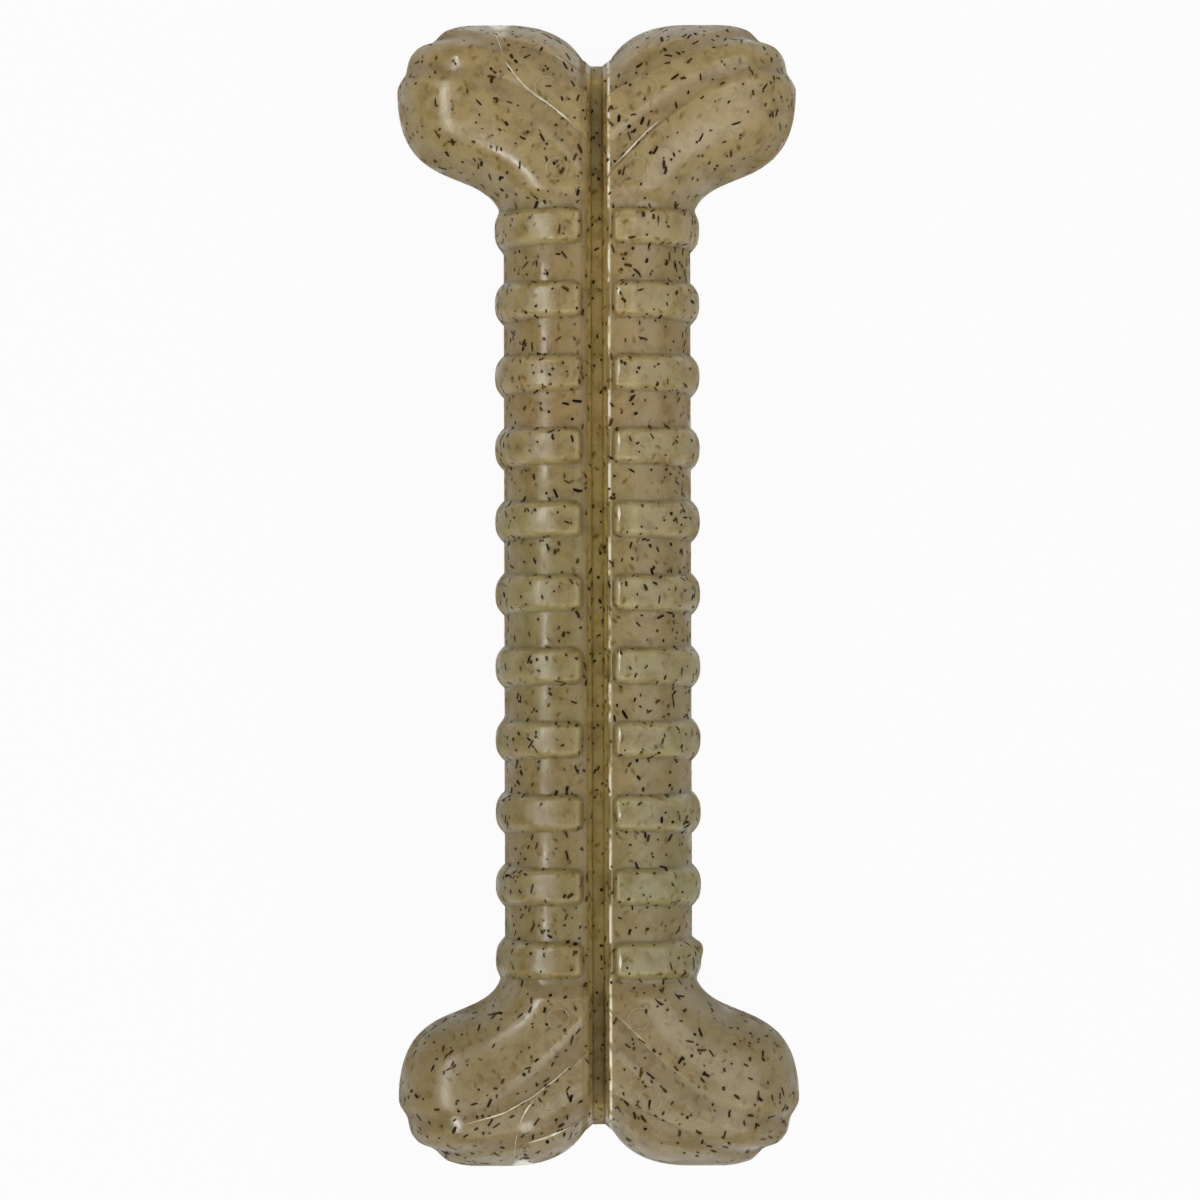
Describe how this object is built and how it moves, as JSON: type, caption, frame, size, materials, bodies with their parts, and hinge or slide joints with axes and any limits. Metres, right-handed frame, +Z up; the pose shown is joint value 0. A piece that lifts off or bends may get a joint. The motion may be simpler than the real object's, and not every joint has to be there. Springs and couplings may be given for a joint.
{
  "type": "nylon chew bone",
  "caption": "Bone-shaped flecked nylon dog chew: ribbed shaft with a centre groove along both faces and fanned, rounded knuckles in pairs at each end.",
  "frame": {"origin": "centre of the bone in plan, on the surface it lies on", "axes": "+Y along the bone, +X across it, +Z up through its thickness"},
  "size_m": [0.0624, 0.178, 0.0246],
  "materials": {
    "flecked_nylon": "satin, translucent, with dark plant-fibre flecks",
    "groove_nylon": "satin, browner, with dark plant-fibre flecks"
  },
  "bodies": {
    "root": {"left_side": "flecked_nylon", "right_side": "flecked_nylon", "centre_strip": "groove_nylon"}
  },
  "joints": []
}
